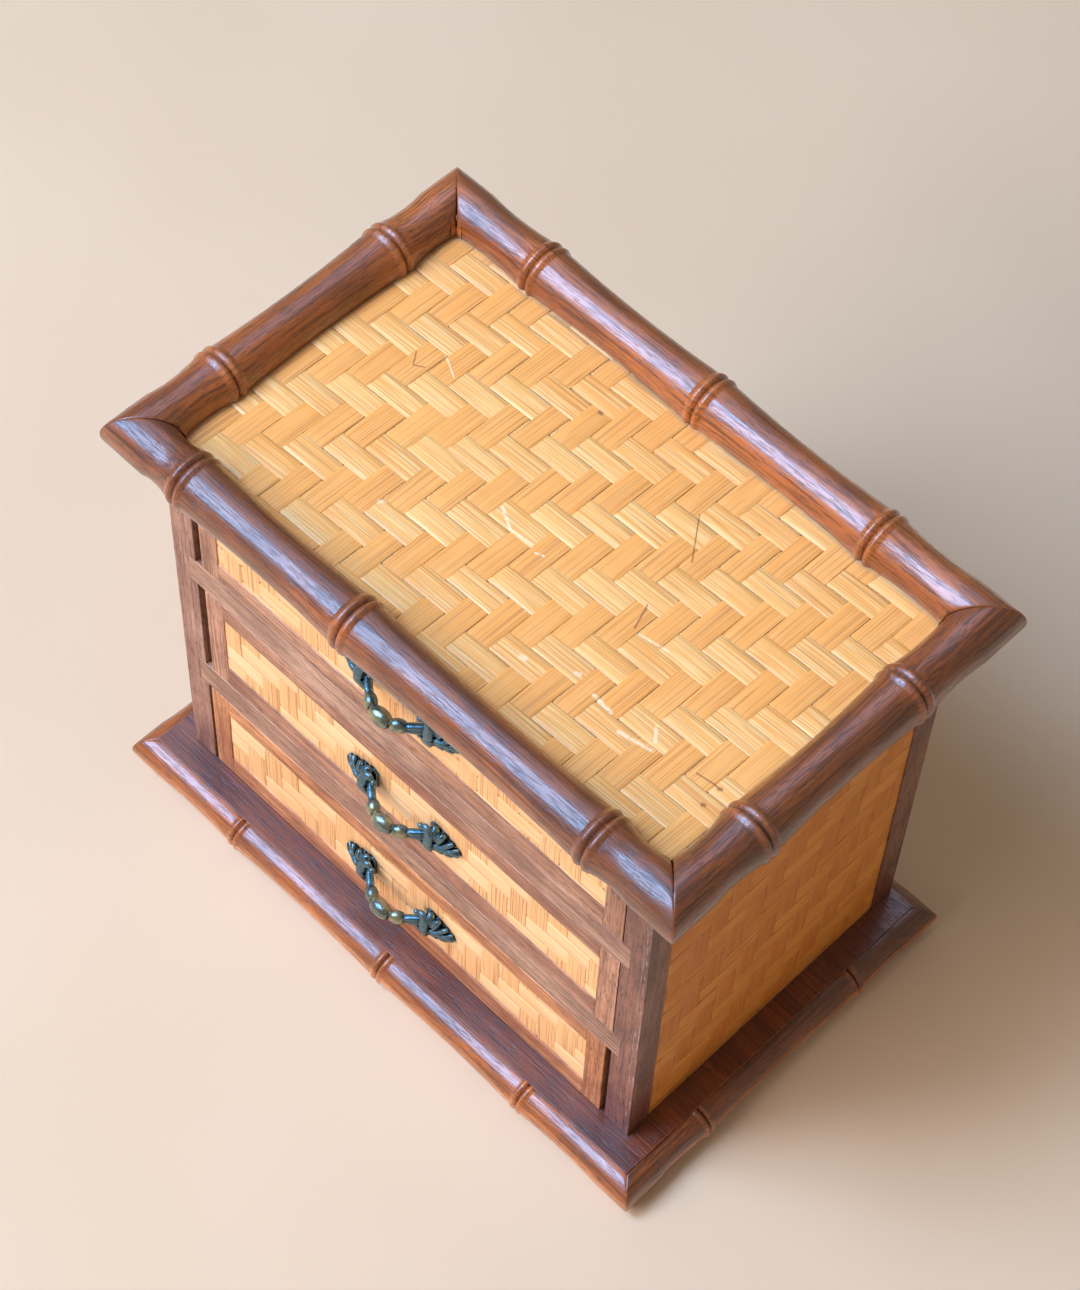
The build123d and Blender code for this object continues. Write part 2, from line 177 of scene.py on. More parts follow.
class Shader:
    """Builds one node material, a few nodes at a time."""

    def __init__(self, name):
        self.material = bpy.data.materials.new(name)
        self.material.use_nodes = True
        self.tree = self.material.node_tree
        self.tree.nodes.clear()
        self.surface = self.tree.nodes.new("ShaderNodeBsdfPrincipled")
        output = self.tree.nodes.new("ShaderNodeOutputMaterial")
        self.tree.links.new(self.surface.outputs[0], output.inputs[0])

    def put(self, socket, value):
        if isinstance(value, bpy.types.NodeSocket):
            self.tree.links.new(value, socket)
        elif value is not None:
            socket.default_value = value

    def node(self, kind, **settings):
        node = self.tree.nodes.new(kind)
        for key, value in settings.items():
            setattr(node, key, value)
        return node

    def attribute(self, name):
        return self.node("ShaderNodeAttribute", attribute_name=name).outputs["Vector"]

    def place(self):
        """Where a point lies on its own piece, which stays put when the piece moves."""
        return self.node("ShaderNodeTexCoord").outputs["Object"]

    def parts(self, vector):
        split = self.node("ShaderNodeSeparateXYZ")
        self.put(split.inputs[0], vector)
        return split.outputs[0], split.outputs[1], split.outputs[2]

    def vector(self, x, y, z):
        join = self.node("ShaderNodeCombineXYZ")
        for socket, value in zip(join.inputs, (x, y, z)):
            self.put(socket, value)
        return join.outputs[0]

    def math(self, operation, a, b=None, c=None, clamp=False):
        node = self.node("ShaderNodeMath", operation=operation, use_clamp=clamp)
        for socket, value in zip(node.inputs, (a, b, c)):
            self.put(socket, value)
        return node.outputs[0]

    def vector_math(self, operation, a, b=None, scale=None):
        node = self.node("ShaderNodeVectorMath", operation=operation)
        self.put(node.inputs[0], a)
        self.put(node.inputs[1], b)
        if scale is not None:
            self.put(node.inputs["Scale"], scale)
        return node

    def scaled(self, vector, scale):
        return self.vector_math("MULTIPLY", vector, scale).outputs[0]

    def noise(self, vector, scale=1.0, detail=2.0, roughness=0.5, distortion=0.0):
        node = self.node("ShaderNodeTexNoise")
        self.put(node.inputs["Vector"], vector)
        node.inputs["Scale"].default_value = scale
        node.inputs["Detail"].default_value = detail
        node.inputs["Roughness"].default_value = roughness
        node.inputs["Distortion"].default_value = distortion
        return node.outputs["Fac"]

    def ramp(self, value, low, high, to_low=0.0, to_high=1.0):
        """Maps low..high to to_low..to_high, smoothly and no further."""
        node = self.node("ShaderNodeMapRange", interpolation_type="SMOOTHSTEP")
        for socket, number in zip(node.inputs, (value, low, high, to_low, to_high)):
            self.put(socket, number)
        return node.outputs[0]

    def mix(self, share, first, second, blend="MIX"):
        node = self.node("ShaderNodeMix", data_type="RGBA", blend_type=blend)
        self.put(node.inputs[0], share)
        self.put(node.inputs[6], first)
        self.put(node.inputs[7], second)
        return node.outputs[2]

    def occlusion(self, distance):
        node = self.node("ShaderNodeAmbientOcclusion", samples=6)
        node.inputs["Distance"].default_value = distance
        return node.outputs["AO"]

    def edge(self, radius):
        """1 on a sharp outer edge, 0 on a flat."""
        bevel = self.node("ShaderNodeBevel", samples=4)
        bevel.inputs["Radius"].default_value = radius
        geometry = self.node("ShaderNodeNewGeometry")
        dot = self.vector_math("DOT_PRODUCT", bevel.outputs[0], geometry.outputs["Normal"])
        return self.ramp(dot.outputs["Value"], 0.99, 0.86)

    def stroke(self, place, start, end, width):
        """1 on a straight mark from start to end, fading to 0 at half its width away."""
        start = Vector(start) * MM
        run = Vector(end) * MM - start
        offset = self.vector_math("SUBTRACT", place, start).outputs[0]
        share = self.vector_math("DOT_PRODUCT", offset, run / run.length_squared).outputs["Value"]
        share = self.math("ADD", share, 0.0, clamp=True)
        nearest = self.vector_math("SCALE", run, scale=share).outputs[0]
        gap = self.vector_math("DISTANCE", offset, nearest).outputs["Value"]
        return self.ramp(gap, width * MM * 0.65, width * MM * 0.15)

    def bump(self, height, strength, distance, normal=None):
        node = self.node("ShaderNodeBump")
        node.inputs["Strength"].default_value = strength
        node.inputs["Distance"].default_value = distance
        self.put(node.inputs["Height"], height)
        self.put(node.inputs["Normal"], normal)
        return node.outputs[0]

    def finish(self, **inputs):
        for name, value in inputs.items():
            self.put(self.surface.inputs[name.replace("_", " ")], value)
        return self.material


def bamboo_material(name, tones, level_lines, upright_lines, gleam, crevice_shade, marks=False):
    """Split bamboo: long fibres with thin dark lines and pale streaks, a tone for each strip.

    tones are its pale, middle, deep, line and streak colours, and the shares say how strongly
    lines, streaks and the painted shade in the gaps between strips show.
    """
    pale, mid, deep, line, streak = tones
    shader = Shader(name)
    along, across, number = shader.parts(shader.attribute("strip"))
    tone, upright, _ = shader.parts(shader.attribute("dye"))
    offset = shader.math("MULTIPLY", number, 3.71)
    place = shader.place()

    def fibres(length, width, detail=2.0):
        """Noise drawn out along the strip."""
        x = shader.math("MULTIPLY", along, 1 / length)
        y = shader.math("MULTIPLY", across, 1 / width)
        return shader.noise(shader.vector(x, y, offset), detail=detail)

    def share_of(level_share, upright_share):
        return shader.ramp(upright, 0.0, 1.0, level_share, upright_share)

    body = fibres(70 * MM, 2.6 * MM)
    fine = fibres(30 * MM, 0.6 * MM, detail=3.0)
    hair = fibres(55 * MM, 0.42 * MM, detail=0.0)
    shine = fibres(26 * MM, 0.75 * MM, detail=1.0)
    stain = shader.noise(place, scale=26, detail=3.0)

    colour = shader.mix(shader.ramp(body, 0.32, 0.68), pale, mid)
    colour = shader.mix(shader.ramp(tone, 0.2, 1.0, 0.0, 0.5), colour, deep)
    colour = shader.mix(share_of(0.0, 0.6), colour, deep)
    colour = shader.mix(shader.ramp(stain, 0.42, 0.72, 0.0, 0.5), colour, deep)
    colour = shader.mix(shader.ramp(fine, 0.42, 0.66, 0.0, 0.4), colour, deep)
    streaks = shader.math("MULTIPLY", shader.ramp(shine, 0.50, 0.60), share_of(gleam, gleam * 0.2))
    colour = shader.mix(streaks, colour, streak)
    lines = shader.math("MULTIPLY", shader.ramp(hair, 0.58, 0.66), share_of(level_lines, upright_lines))
    colour = shader.mix(lines, colour, line)
    patchy = shader.ramp(shader.noise(place, scale=120, detail=1.0), 0.40, 0.66, 0.35, 1.0)
    # Painted shade: the colour darkens toward brown in the crevices between strips, where the surface is
    # occluded.
    gap = shader.ramp(shader.occlusion(0.45 * MM), 0.30, 0.72, crevice_shade, 0.0)
    colour = shader.mix(shader.math("MULTIPLY", gap, patchy), colour, srgb(104, 66, 38))
    # Dust and painted shade: a darker grey-tan mixed in where the sheet is occluded beside the bars round
    # it.
    dust_and_shade = shader.ramp(shader.occlusion(3.2 * MM), 0.50, 0.76, 0.85, 0.0)
    dust_and_shade = shader.math("MULTIPLY", dust_and_shade, shader.ramp(patchy, 0.35, 1.0, 0.7, 1.0))
    colour = shader.mix(dust_and_shade, colour, srgb(176, 158, 136))
    if marks:
        colour = worn_marks(shader, place, colour)
    height = shader.math("SUBTRACT", shader.math("MULTIPLY", fine, 0.6), lines)
    return shader.finish(
        Base_Color=colour,
        Roughness=shader.ramp(body, 0.3, 0.7, 0.40, 0.54),
        Normal=shader.bump(height, 0.5, 0.09 * MM),
        Specular_IOR_Level=0.4,
    )


def worn_marks(shader, place, colour):
    """Rubbed pale scratches and a few dark hairlines on the top sheet."""
    low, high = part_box("top_weave")
    middle = shader.vector_math("SUBTRACT", place, (low + high) / 2).outputs[0]
    flat = shader.scaled(middle, (1, 1, 0))
    ragged = shader.ramp(shader.noise(place, scale=700, detail=3.0), 0.34, 0.54, 0.25, 1.0)
    for strokes, tint, strength, ragging in (
        (PALE_SCRATCHES, srgb(250, 236, 212), 0.8, ragged),
        (DARK_HAIRLINES, srgb(112, 66, 38), 0.7, 1.0),
    ):
        mask = 0.0
        for start, end, width in strokes:
            stroke = shader.stroke(flat, (*start, 0), (*end, 0), width)
            mask = shader.math("MAXIMUM", mask, stroke)
        mask = shader.math("MULTIPLY", shader.math("MULTIPLY", mask, ragging), strength)
        colour = shader.mix(mask, colour, tint)
    return colour


def wood_material(name, light, mid, dark, worn, gloss, pores=0.6, wear=0.5, coat=0.0, grime_and_shade=0.6):
    """Stained wood with open pores along the grain, worn edges, and dirt with painted shade in the corners.
    """
    shader = Shader(name)
    grain = shader.attribute("grain")
    chipped, marked, paler_underside = shader.parts(shader.attribute("finish"))
    tint = shader.attribute("tint")
    bands = shader.noise(shader.scaled(grain, (8, 90, 90)), detail=3.0, distortion=0.6)
    fibre = shader.noise(shader.scaled(grain, (32, 1100, 1100)), detail=3.0)
    pore = shader.noise(shader.scaled(grain, (210, 2000, 2000)), detail=2.0)
    mottle = shader.noise(shader.scaled(grain, (40, 60, 60)), detail=2.0)
    speck = shader.noise(shader.scaled(grain, (110, 1500, 1500)), detail=2.0)

    colour = shader.mix(shader.ramp(bands, 0.34, 0.66), light, mid)
    colour = shader.mix(shader.ramp(mottle, 0.38, 0.72, 0.0, 0.55), colour, dark)
    # Paler and more orange toward the underside of the base bars, partly as painted light from the floor.
    colour = shader.mix(shader.ramp(paler_underside, 0.0, 1.0, 0.0, 0.9), colour, worn)
    colour = shader.mix(shader.ramp(fibre, 0.44, 0.64, 0.0, 0.75), colour, dark)
    # Each board's own tone, which on the rails, the upper drawer strips and the front left post also carries
    # a painted bluish sheen.
    colour = shader.mix(1.0, colour, tint, blend="MULTIPLY")
    pits = shader.ramp(pore, 0.54, 0.65, 0.0, pores)
    colour = shader.mix(pits, colour, srgb(44, 22, 15))
    rub = shader.noise(shader.scaled(grain, (120, 420, 420)), detail=3.0)
    rubbed = shader.math("MULTIPLY", shader.edge(0.7 * MM), shader.ramp(rub, 0.42, 0.62, 0.1, 1.0))
    crest = shader.math("MULTIPLY", marked, shader.ramp(rub, 0.3, 0.6, 0.35, 1.0))
    rubbed = shader.math("MAXIMUM", rubbed, crest)
    colour = shader.mix(shader.math("MULTIPLY", rubbed, wear), colour, worn)
    flecks = shader.ramp(speck, 0.56, 0.66, 0.0, 0.5)
    chips = shader.math("MULTIPLY", shader.ramp(chipped, 0.5, 1.0), flecks)
    colour = shader.mix(chips, colour, srgb(206, 194, 194))
    # Dirt and painted shade: the colour darkens toward near black where the surface is occluded, in corners,
    # joints and recesses.
    corner_dirt_and_shade = shader.ramp(shader.occlusion(0.8 * MM), 0.25, 0.7, grime_and_shade, 0.0)
    colour = shader.mix(corner_dirt_and_shade, colour, srgb(46, 23, 15))
    height = shader.math("SUBTRACT", shader.math("MULTIPLY", fibre, 0.7), pits)
    normal = shader.bump(height, 0.55, 0.16 * MM)
    rough = shader.ramp(mottle, 0.3, 0.7, gloss - 0.05, gloss + 0.08)
    rough = shader.math("ADD", rough, shader.math("MULTIPLY", pits, 0.2))
    return shader.finish(
        Base_Color=colour,
        Roughness=rough,
        Normal=normal,
        Specular_IOR_Level=0.5,
        Coat_Weight=coat,
        Coat_Roughness=0.2,
        Coat_Normal=shader.bump(height, 0.45, 0.16 * MM),
    )


def bronze_material():
    """Cast metal, blued dark in its hollows, rubbed to pale brass where it stands furthest out, with a
    painted pale cyan highlight on its crests.
    """
    shader = Shader("antique_bronze")
    place = shader.place()
    geometry = shader.node("ShaderNodeNewGeometry")
    speckle = shader.noise(place, scale=1500, detail=3.0)
    cloud = shader.noise(place, scale=240, detail=2.0)
    crest = shader.ramp(geometry.outputs["Pointiness"], 0.51, 0.58)
    out = shader.math("MULTIPLY", shader.parts(place)[1], -1.0)
    handled = shader.ramp(out, BRASS_FROM, BRASS_FROM + 2.5 * MM, 0.12, 1.0)
    open_part = shader.ramp(shader.occlusion(1.9 * MM), 0.46, 0.96)
    # The open surface's blue-grey is partly the metal's own blued tone, partly a painted reflection of blue
    # sky; the hollows are its dark patina.
    colour = shader.mix(open_part, srgb(9, 13, 18), srgb(82, 116, 134))
    worn = shader.math("MULTIPLY", handled, shader.ramp(cloud, 0.40, 0.60, 0.25, 0.8))
    brassy = shader.math("MULTIPLY", open_part, worn)
    colour = shader.mix(brassy, colour, srgb(186, 174, 126))
    # Painted highlight: the crests, where Pointiness is high, are mixed toward pale cyan-white, partly
    # rubbed metal and partly painted highlight.
    rubbed = shader.math("MULTIPLY", crest, shader.ramp(speckle, 0.36, 0.56, 0.2, 0.95))
    colour = shader.mix(rubbed, colour, srgb(196, 222, 224))
    return shader.finish(
        Base_Color=colour,
        Metallic=0.85,
        Roughness=shader.ramp(cloud, 0.3, 0.7, 0.22, 0.36),
        Normal=shader.bump(speckle, 0.2, 0.05 * MM),
    )


def felt_material():
    shader = Shader("lining_felt")
    place = shader.place()
    fibres = shader.noise(place, scale=2600, detail=4.0, roughness=0.7, distortion=1.2)
    patches = shader.noise(place, scale=60, detail=2.0)
    colour = shader.mix(shader.ramp(fibres, 0.3, 0.7), srgb(92, 24, 30), srgb(142, 50, 54))
    colour = shader.mix(shader.ramp(patches, 0.4, 0.8, 0.0, 0.3), colour, srgb(70, 18, 24))
    normal = shader.bump(fibres, 0.8, 0.25 * MM)
    return shader.finish(
        Base_Color=colour, Roughness=0.95, Normal=normal, Sheen_Weight=0.35, Specular_IOR_Level=0.15
    )


def steel_material():
    shader = Shader("screw_steel")
    place = shader.place()
    scuff = shader.noise(place, scale=900, detail=3.0)
    rust = shader.noise(place, scale=320, detail=2.0)
    colour = shader.mix(shader.ramp(scuff, 0.35, 0.65), srgb(150, 148, 142), srgb(188, 186, 180))
    colour = shader.mix(shader.ramp(rust, 0.6, 0.75, 0.0, 0.6), colour, srgb(110, 82, 60))
    rough = shader.ramp(scuff, 0.3, 0.7, 0.28, 0.45)
    return shader.finish(Base_Color=colour, Metallic=0.95, Roughness=rough)


def floor_material():
    shader = Shader("pale_floor")
    cloud = shader.noise(shader.place(), scale=6, detail=2.0)
    colour = shader.mix(shader.ramp(cloud, 0.3, 0.7), srgb(217, 203, 190), srgb(221, 207, 195))
    return shader.finish(Base_Color=colour, Roughness=0.9, Specular_IOR_Level=0.0)


BAMBOO_TOP = bamboo_material(
    "bamboo_top",
    (srgb(251, 205, 136), srgb(248, 190, 114), srgb(241, 171, 90), srgb(166, 104, 60), srgb(253, 228, 176)),
    level_lines=0.4,
    upright_lines=0.4,
    gleam=0.5,
    crevice_shade=0.85,
    marks=True,
)
# A darker, more orange copy of the top's bamboo on both side sheets: painted shade.
BAMBOO_SIDE_SHADED = bamboo_material(
    "bamboo_side_shaded",
    (srgb(232, 158, 70), srgb(222, 143, 54), srgb(204, 120, 38), srgb(152, 84, 32), srgb(240, 176, 92)),
    level_lines=0.3,
    upright_lines=0.35,
    gleam=0.25,
    crevice_shade=0.2,
)
BAMBOO_FACE = bamboo_material(
    "bamboo_face",
    (srgb(245, 210, 166), srgb(240, 197, 150), srgb(232, 178, 122), srgb(176, 112, 64), srgb(248, 226, 194)),
    level_lines=0.1,
    upright_lines=0.75,
    gleam=0.3,
    crevice_shade=0.15,
)
DARK_WOOD = wood_material(
    "stained_moulding",
    srgb(152, 84, 44),
    srgb(120, 62, 32),
    srgb(70, 36, 21),
    srgb(212, 128, 66),
    0.34,
    pores=0.55,
    coat=1.0,
)
# A lighter, warmer copy of the moulding wood: painted light on the bars that face the light.
LIT_MOULDING_WOOD = wood_material(
    "moulding_painted_lit",
    srgb(186, 108, 54),
    srgb(154, 82, 38),
    srgb(96, 50, 26),
    srgb(222, 142, 76),
    0.34,
    pores=0.5,
    coat=1.0,
)
CASE_WOOD = wood_material(
    "case_wood",
    srgb(192, 134, 106),
    srgb(162, 104, 78),
    srgb(110, 62, 46),
    srgb(220, 166, 126),
    0.42,
    pores=0.5,
    wear=0.4,
    coat=0.15,
    grime_and_shade=0.3,
)
# A darker copy of the case wood on the two right posts: partly their own darker boards, partly painted
# shade.
DARK_POST_WOOD_AND_SHADE = wood_material(
    "post_wood_shaded",
    srgb(142, 84, 64),
    srgb(116, 60, 43),
    srgb(76, 37, 26),
    srgb(204, 164, 146),
    0.42,
    pores=0.6,
    wear=0.6,
    coat=0.4,
)
BASE_WOOD = wood_material(
    "base_wood",
    srgb(130, 68, 42),
    srgb(104, 50, 31),
    srgb(64, 29, 18),
    srgb(196, 120, 70),
    0.36,
    pores=0.6,
    coat=0.8,
)
PLAIN_WOOD = wood_material(
    "plain_wood",
    srgb(214, 178, 132),
    srgb(198, 158, 112),
    srgb(168, 126, 86),
    srgb(226, 194, 150),
    0.6,
    pores=0.3,
)
BRONZE = bronze_material()
FELT = felt_material()
STEEL = steel_material()
SLOT_MATERIALS = {
    "bamboo_weave": BAMBOO_TOP,
    "felt": FELT,
    "antique_brass": BRONZE,
    "steel": STEEL,
    "dark_wood": DARK_WOOD,
    "case_wood": CASE_WOOD,
    "plain_wood": PLAIN_WOOD,
}

# Pieces whose wood differs from the rest of their slot: the lit bars get a lighter copy of the moulding wood
# as painted light, the right posts a darker copy of the case wood, partly their own boards and partly
# painted shade, and the base board its own wood
OWN_MATERIALS = {
    "top_moulding_back": LIT_MOULDING_WOOD,
    "top_moulding_left": LIT_MOULDING_WOOD,
    "base_moulding_front": LIT_MOULDING_WOOD,
    "base_moulding_left": LIT_MOULDING_WOOD,
    "base_board": BASE_WOOD,
    "post_front_right": DARK_POST_WOOD_AND_SHADE,
    "post_rear_right": DARK_POST_WOOD_AND_SHADE,
}

# How much lighter or darker than their material some boards are, in red, green and blue: partly each board's
# own tone, partly a painted bluish sheen on the rails, the upper drawer strips and the front left post
BOARD_TONES_AND_SHEEN = {
    "rail_upper": (1.1, 1.5, 1.85),
    "rail_lower": (1.1, 1.5, 1.8),
    "drawer_top_strips": (1.1, 1.3, 1.4),
    "drawer_middle_strips": (1.15, 1.3, 1.4),
    "drawer_bottom_strips": (1.45, 1.45, 1.0),
    "post_front_left": (0.95, 1.15, 1.5),
}


def node_facts():
    """Body and material slot of each CAD node."""
    record = frame["record"]
    body_of = {}
    for body, members in record["behaviour"]["bodies"].items():
        for member in members:
            body_of[member] = body
    slot_of = {part["node"]: part["material_slot"] for part in record["subparts"]}
    return body_of, slot_of


BODY_OF, SLOT_OF = node_facts()


def set_vectors(mesh, name, values):
    attribute = mesh.attributes.get(name) or mesh.attributes.new(name, "FLOAT_VECTOR", "POINT")
    attribute.data.foreach_set("vector", np.asarray(values, np.float32).ravel())


def mesh_points(mesh):
    points = np.empty(len(mesh.vertices) * 3, np.float32)
    mesh.vertices.foreach_get("co", points)
    return points.reshape(-1, 3)


def shade_smooth(mesh):
    mesh.polygons.foreach_set("use_smooth", [True] * len(mesh.polygons))


def cut_away(form, place, normal):
    """Removes what lies beyond a plane and closes the cut."""
    parts = form.verts[:] + form.edges[:] + form.faces[:]
    bmesh.ops.bisect_plane(form, geom=parts, plane_co=place, plane_no=normal, clear_outer=True)
    rim = [edge for edge in form.edges if edge.is_boundary]
    bmesh.ops.holes_fill(form, edges=rim, sides=0)


def add_piece(name, mesh, node, material):
    """A new object that rides where a CAD node rides and stands for it."""
    piece = bpy.data.objects.new(name, mesh)
    bpy.context.scene.collection.objects.link(piece)
    mesh.materials.clear()
    mesh.materials.append(material)
    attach(piece, BODY_OF[node])
    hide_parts(node)
    return piece


def grain_of(points, name, axis=None):
    """Wood coordinates: first along the grain, shifted so that no two pieces share a figure."""
    if axis is None:
        axis = int(np.argmax(points.max(0) - points.min(0)))
    order = [axis] + [i for i in range(3) if i != axis]
    shift = random.Random(seed_of(name))
    return points[:, order] + [shift.uniform(-3, 3) for _ in range(3)]


def is_upright_strip(face, low, high):
    """Whether a face belongs to an upright side strip of a drawer front, and not to the strips between."""
    x = face.calc_center_median().x - (low.x + high.x) / 2
    beyond = abs(x) - (high.x - low.x) / 2
    if abs(beyond) > 0.1 * MM:
        return beyond > 0
    return face.normal.x * x < 0


def eased_solids(node, edge):
    """The node's mesh with eased edges, in parts that only touch: (points, faces, grain axis)."""
    groups = [(None, None)]
    if node.endswith("_strips"):
        low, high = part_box(node.replace("strips", "weave"))
        groups = [(False, 0), (True, 2)]
    solids = []
    for wanted, axis in groups:
        form = bmesh.new()
        form.from_mesh(frame["nodes"][node].data)
        if wanted is not None:
            others = [face for face in form.faces if is_upright_strip(face, low, high) != wanted]
            bmesh.ops.delete(form, geom=others, context="FACES")
        bmesh.ops.remove_doubles(form, verts=form.verts, dist=0.002 * MM)
        bmesh.ops.dissolve_limit(form, angle_limit=FLAT_ANGLE, verts=form.verts, edges=form.edges)
        joined = [e for e in form.edges if len(e.link_faces) == 2]
        bmesh.ops.bevel(
            form,
            geom=[e for e in joined if e.calc_face_angle(0.0) > SHARP_ANGLE],
            offset=edge,
            segments=2,
            profile=0.5,
            affect="EDGES",
            clamp_overlap=True,
        )
        form.verts.index_update()
        points = [tuple(vert.co) for vert in form.verts]
        faces = [[vert.index for vert in face.verts] for face in form.faces]
        form.free()
        solids.append((points, faces, axis))
    return solids


def rounded_piece(node, edge, material=None):
    """The CAD node's own form with its sharp edges eased."""
    points, faces, grain = [], [], []
    for own_points, own_faces, axis in eased_solids(node, edge):
        faces.extend([index + len(points) for index in face] for face in own_faces)
        points.extend(own_points)
        grain.extend(grain_of(np.array(own_points), node, axis))
    mesh = bpy.data.meshes.new(node + "_eased")
    mesh.from_pydata(points, [], faces)
    shade_smooth(mesh)
    points = mesh_points(mesh)
    set_vectors(mesh, "grain", grain)
    set_vectors(mesh, "tint", [BOARD_TONES_AND_SHEEN.get(node, (1.0, 1.0, 1.0))] * len(points))
    finish = np.zeros((len(points), 3))
    if node == CHIPPED_POST:
        share = (points - points.min(0)) / (points.max(0) - points.min(0))
        on_front = points[:, 1] < points[:, 1].min() + 0.1 * MM
        finish[:, 0] = share[:, 0] * on_front
    set_vectors(mesh, "finish", finish)
    piece = add_piece(node + "_eased", mesh, node, material or SLOT_MATERIALS[SLOT_OF[node]])
    weighted = piece.modifiers.new("weighted", "WEIGHTED_NORMAL")
    weighted.keep_sharp = True
    return piece


def bar_stations(half_length, nodes, bar):
    """(place, radius, crest) along a turned bar, crest being 1 on a ridge."""
    start = -half_length + bar["corner"]
    end = half_length - bar["corner"]
    stations = [(start, bar["corner"], 0.0)]
    width = bar["ridge_width"] * RIDGE_REACH

    def waist(stop, radius_stop):
        place, radius, _ = stations[-1]
        steps = max(6, int((stop - place) / (2.2 * MM)))
        for i in range(1, steps + 1):
            t = i / steps
            chord = radius + (radius_stop - radius) * t
            dip = (radius + radius_stop) / 2 - bar["waist"]
            stations.append((place + (stop - place) * t, chord - 4 * t * (1 - t) * dip, 0.0))

    def ridge(share):
        """Radius and crest of a round ridge: share is 0 in its middle and 1 at its outer foot."""
        if share < RIDGE_TOP:
            rise = math.sin(math.pi / 2 * share / RIDGE_TOP) ** 0.8
            return bar["groove"] + (bar["ridge"] - bar["groove"]) * rise, rise**3
        fall = (share - RIDGE_TOP) / (1 - RIDGE_TOP)
        ease = fall * fall * (3 - 2 * fall)
        return bar["ridge"] - (bar["ridge"] - bar["flare"]) * ease, 1 - ease

    for node in nodes:
        waist(node - width, bar["flare"])
        steps = 15
        for i in range(-steps + 1, steps + 1):
            stations.append((node + width * i / steps, *ridge(abs(i) / steps)))
    waist(end, bar["corner"])
    return stations


def turned_bar(name, half_length, nodes, bar, limits, angles, place):
    """A mitred bar along X whose outer side is -Y.

    limits(angle) caps the radius where the bar is cut away.
    """
    wobble = random.Random(seed_of(name)).uniform(0, 50)
    verts, finish, rings = [], [], []

    def point(at, radius, angle, crest):
        ripple = noise.noise(Vector((at * 28 + wobble, math.cos(angle), math.sin(angle))))
        r = min(radius * (1 + 0.008 * (ripple - 0.6)), limits(angle))
        verts.append((at, -r * math.cos(angle), r * math.sin(angle)))
        # The lower half of a base bar is made paler and more orange: partly less stain, partly painted light
        # bounced up from the floor.
        paler_underside = max(0.0, min(1.0, 0.9 - 1.6 * math.sin(angle))) if bar is BASE_BAR else 0.0
        finish.append((0.0, max(0.0, crest * (0.35 + 0.5 * ripple)), paler_underside))
        return len(verts) - 1

    def mitre_rings(side):
        found = []
        for step in MITRE_STEPS:
            radius = bar["corner"] - MITRE_ROUND * math.exp(-step / (0.4 * MM))
            ring = []
            for angle in angles:
                outward = min(bar["corner"], limits(angle)) * math.cos(angle)
                reach = half_length + outward - step - SEAM / 2
                ring.append(point(side * reach, radius, angle, 0.0))
            found.append(ring)
        return found

    rings.extend(reversed(mitre_rings(-1)))
    for at, radius, crest in bar_stations(half_length, nodes, bar):
        rings.append([point(at, radius, angle, crest) for angle in angles])
    rings.extend(mitre_rings(1))
    count = len(angles)
    faces = [tuple(reversed(rings[0])), tuple(rings[-1])]
    for before, after in zip(rings, rings[1:]):
        for i in range(count):
            j = (i + 1) % count
            faces.append((before[i], before[j], after[j], after[i]))
    mesh = bpy.data.meshes.new(name)
    mesh.from_pydata(verts, [], faces)
    set_vectors(mesh, "grain", grain_of(np.array(verts), name, 0))
    set_vectors(mesh, "finish", finish)
    set_vectors(mesh, "tint", [(1.0, 1.0, 1.0)] * len(verts))
    mesh.transform(place)
    form = bmesh.new()
    form.from_mesh(mesh)
    bmesh.ops.recalc_face_normals(form, faces=form.faces)
    form.to_mesh(mesh)
    form.free()
    shade_smooth(mesh)
    mesh.set_sharp_from_angle(angle=math.radians(40))
    return add_piece(name + "_turned", mesh, name, OWN_MATERIALS.get(name, DARK_WOOD))


def bars_round(prefix, half_x, y_front, y_rear, axis_z, node_sets, bar, limits, angles):
    """Four mitred bars round a rectangle."""
    centre_y = (y_front + y_rear) / 2
    half_y = (y_rear - y_front) / 2
    places = {
        "front": (half_x, Vector((0, y_front, axis_z)), 0, 1),
        "right": (half_y, Vector((half_x, centre_y, axis_z)), 90, 1),
        "back": (half_x, Vector((0, y_rear, axis_z)), 180, -1),
        "left": (half_y, Vector((-half_x, centre_y, axis_z)), -90, -1),
    }
    for side, (half_length, centre, turn, order) in places.items():
        nodes = sorted(order * node * MM for node in node_sets[side])
        place = Matrix.Translation(centre) @ Matrix.Rotation(math.radians(turn), 4, "Z")
        along_x = side in ("front", "back")
        turned_bar(prefix + side, half_length, nodes, bar, limits(along_x), angles, place)


def top_bars():
    """The round bars of the rim, rebated over the board and its woven sheet."""
    low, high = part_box("top_moulding_front")
    side_low, side_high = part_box("top_moulding_right")
    axis_z = (low.z + high.z) / 2
    y_front = (low.y + high.y) / 2
    y_rear = sum(corner.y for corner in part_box("top_moulding_back")) / 2
    half_x = (side_low.x + side_high.x) / 2
    board_low, board_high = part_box("top_board")
    weave_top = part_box("top_weave")[1].z

    def limits(along_x):
        inward = board_low.y - y_front if along_x else half_x - board_high.x
        below = axis_z - weave_top

        def cap(angle):
            out, up = math.cos(angle), math.sin(angle)
            if out >= 0 or up >= 0:
                return 1.0
            return max(inward / -out, below / -up)

        return cap

    angles = [2 * math.pi * i / 88 for i in range(88)]
    bars_round("top_moulding_", half_x, y_front, y_rear, axis_z, TOP_NODES, TOP_BAR, limits, angles)


